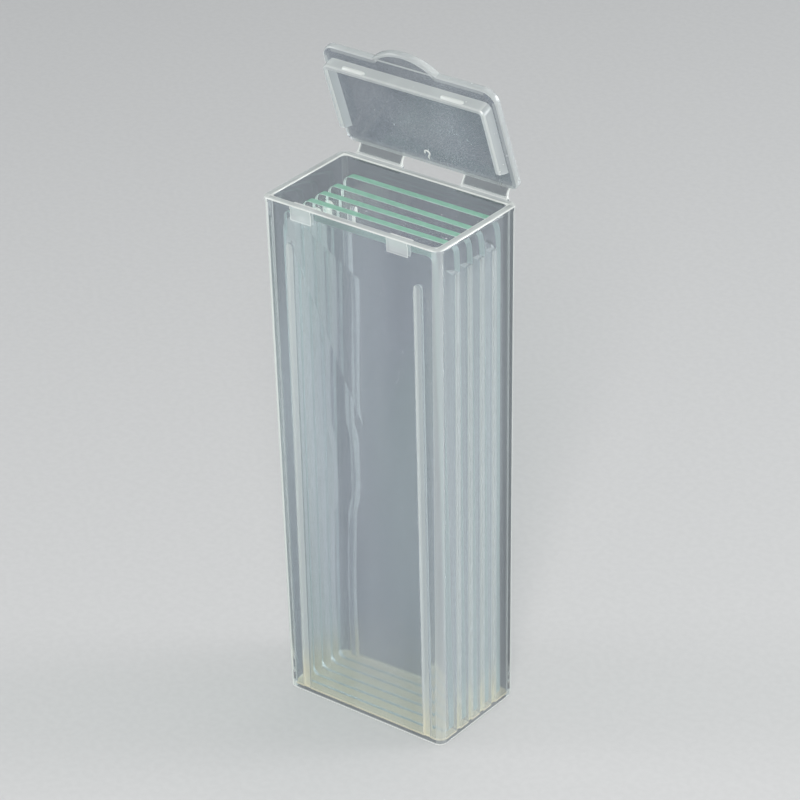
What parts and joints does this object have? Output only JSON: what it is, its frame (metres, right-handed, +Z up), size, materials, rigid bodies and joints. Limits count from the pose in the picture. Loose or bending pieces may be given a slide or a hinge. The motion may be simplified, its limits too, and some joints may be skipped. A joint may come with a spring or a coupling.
{
  "type": "microscope slide mailer",
  "caption": "Tall translucent plastic box with a flip-top lid on two living-hinge straps, holding glass microscope slides on end between wall fins.",
  "frame": {"origin": "middle of the box's base, in the plane it stands on", "axes": "+Z up along the box, +Y towards the hinge side, +X along the long side of the mouth"},
  "size_m": [0.0302, 0.0197, 0.0993],
  "materials": {
    "box_plastic": "translucent natural polypropylene, satin",
    "lid_plastic": "translucent natural polypropylene, fine matte grain",
    "hinge_plastic": "thin flexed polypropylene web",
    "glass": "clear plain glass with pale green edges"
  },
  "bodies": {
    "case": {"case": "box_plastic"},
    "lid": {"lid": "lid_plastic", "hinge_strap_left": "hinge_plastic", "hinge_strap_right": "hinge_plastic"},
    "slide_1": {"glass_slide_1": "glass"},
    "slide_2": {"glass_slide_2": "glass"},
    "slide_3": {"glass_slide_3": "glass"},
    "slide_4": {"glass_slide_4": "glass"},
    "slide_5": {"glass_slide_5": "glass"}
  },
  "joints": [
    {"name": "lid_hinge", "type": "hinge", "parent": "case", "child": "lid", "pos_m": [0, 0.00967, 0.07908], "axis": [-1, 0, 0], "range_deg": [-71.4, 108.6]},
    {"name": "slide_1_lift", "type": "slide", "parent": "case", "child": "slide_1", "axis": [0, -0.0131, 0.9999], "range_m": [0, 0.079]},
    {"name": "slide_2_lift", "type": "slide", "parent": "case", "child": "slide_2", "axis": [0, -0.0003, 1], "range_m": [0, 0.079]},
    {"name": "slide_3_lift", "type": "slide", "parent": "case", "child": "slide_3", "axis": [0, -0.0004, 1], "range_m": [0, 0.079]},
    {"name": "slide_4_lift", "type": "slide", "parent": "case", "child": "slide_4", "axis": [0, -0.0003, 1], "range_m": [0, 0.016]},
    {"name": "slide_5_lift", "type": "slide", "parent": "case", "child": "slide_5", "axis": [-0.0001, 0.0131, 0.9999], "range_m": [0, 0.01]}
  ]
}
